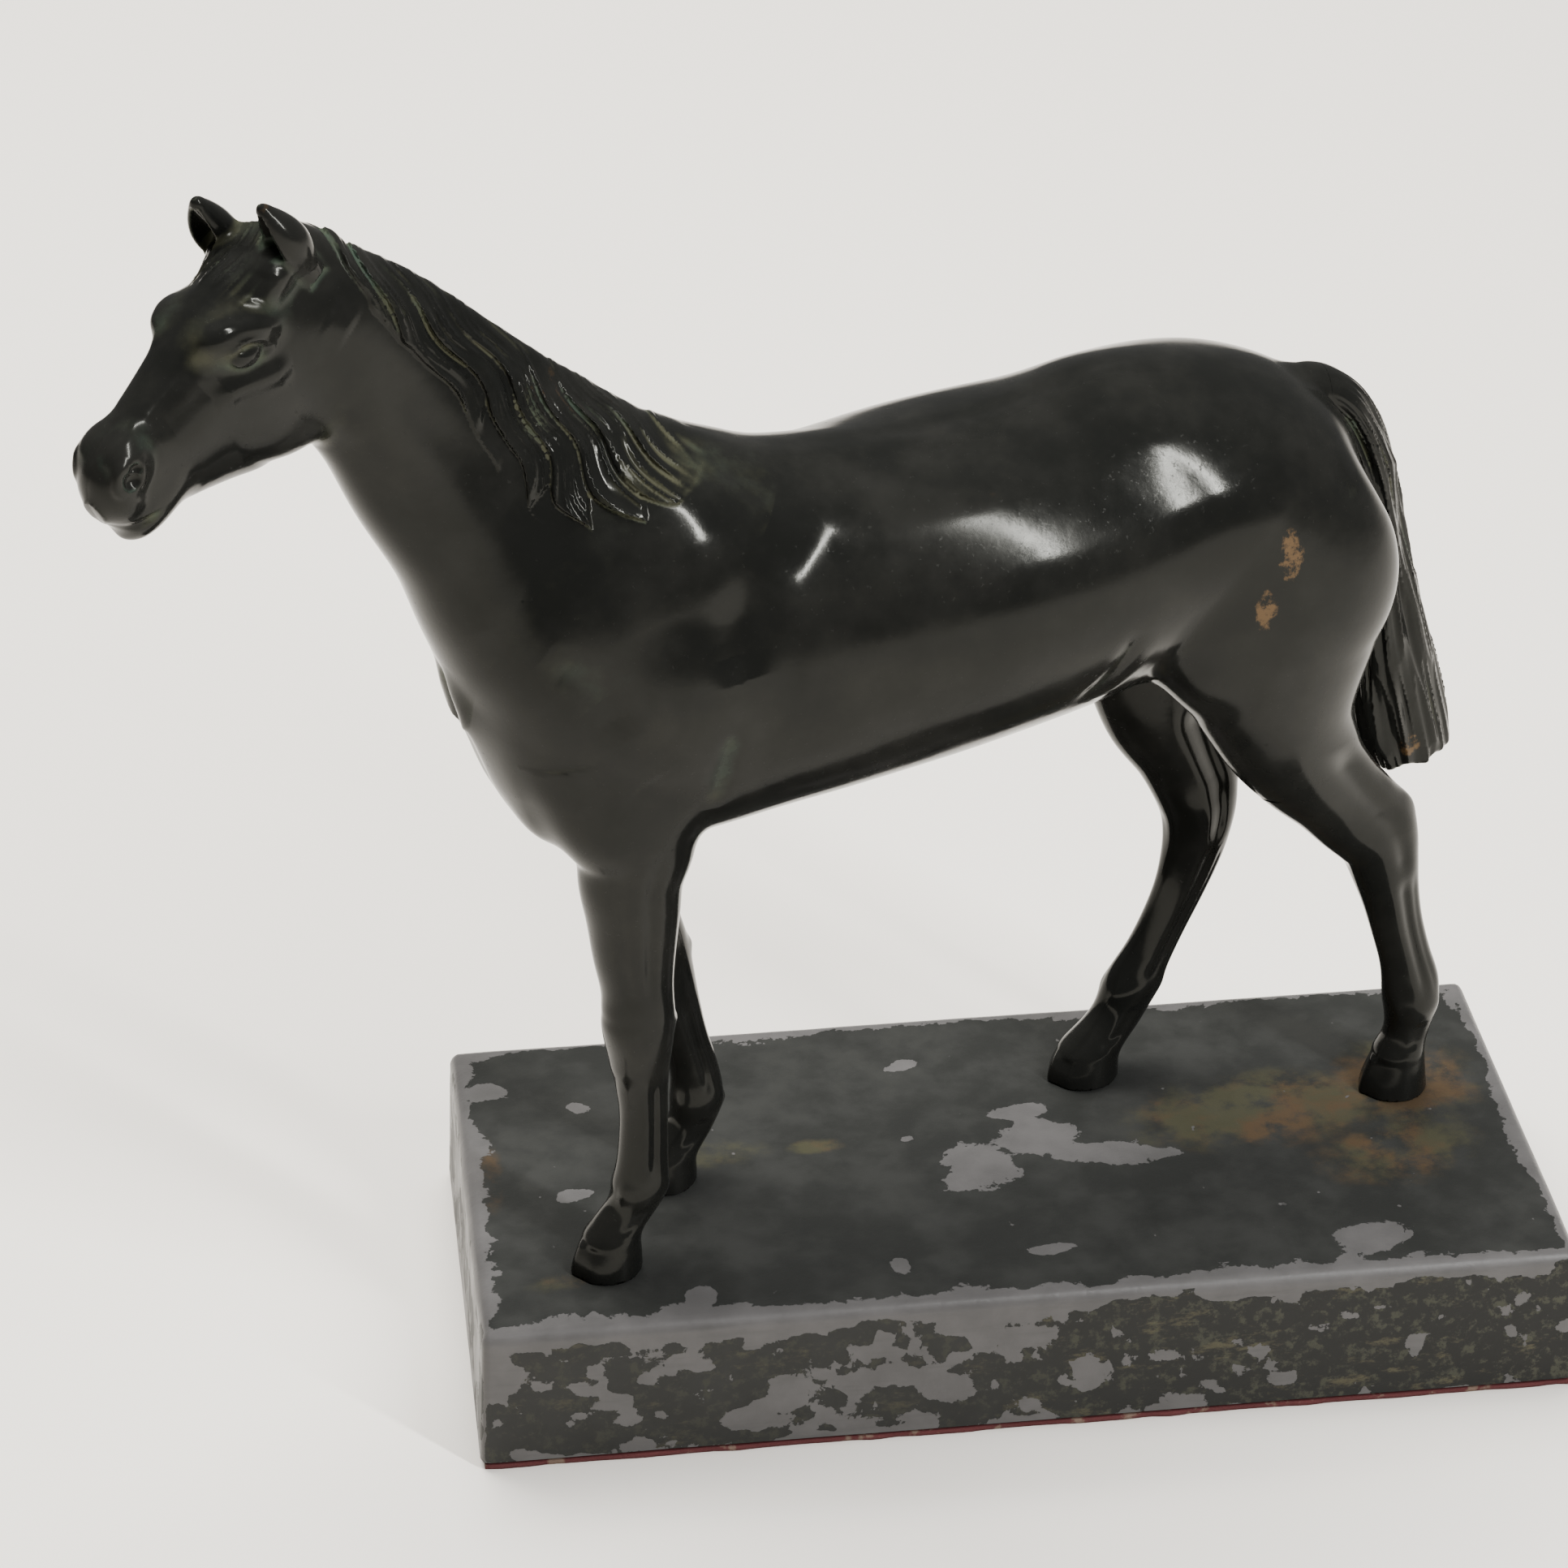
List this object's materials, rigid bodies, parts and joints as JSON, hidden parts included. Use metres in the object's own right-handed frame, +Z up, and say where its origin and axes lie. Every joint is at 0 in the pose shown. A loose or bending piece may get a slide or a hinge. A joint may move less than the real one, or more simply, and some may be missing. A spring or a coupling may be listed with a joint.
{
  "type": "horse statuette",
  "caption": "Black patinated bronze horse standing in a walking stance with its head turned to the left, screwed to a rectangular chipped black slab with a felt underside.",
  "frame": {"origin": "centre of the felt pad's underside, where the statuette rests", "axes": "+X along the slab's length towards the horse's tail, -Y towards the horse's left side, +Z up; the horse stands turned 15 degrees about +Z with its head towards -Y"},
  "size_m": [0.3075, 0.1315, 0.2936],
  "materials": {
    "bronze": "glossy near-black patina on cast bronze, verdigris in the mane and ear recesses, brown where worn",
    "bronze_pin": "filed bronze",
    "slab": "thin black coat over smooth grey, chipped at the edges and in patches, glossy on the worn rim",
    "felt": "dark red felt with a fibrous cut edge",
    "steel": "plain machine screw steel"
  },
  "bodies": {
    "root": {"base_slab": "slab", "body_casting": "bronze", "felt_pad": "felt", "left_fore_joint_pin": "bronze_pin", "left_fore_leg": "bronze", "left_fore_screw": "steel", "left_fore_washer": "steel", "left_hind_joint_pin": "bronze_pin", "left_hind_leg": "bronze", "left_hind_screw": "steel", "left_hind_washer": "steel", "right_fore_joint_pin": "bronze_pin", "right_fore_leg": "bronze", "right_fore_screw": "steel", "right_fore_washer": "steel", "right_hind_joint_pin": "bronze_pin", "right_hind_leg": "bronze", "right_hind_screw": "steel", "right_hind_washer": "steel", "tail_casting": "bronze", "tail_joint_pin": "bronze_pin"}
  },
  "joints": []
}
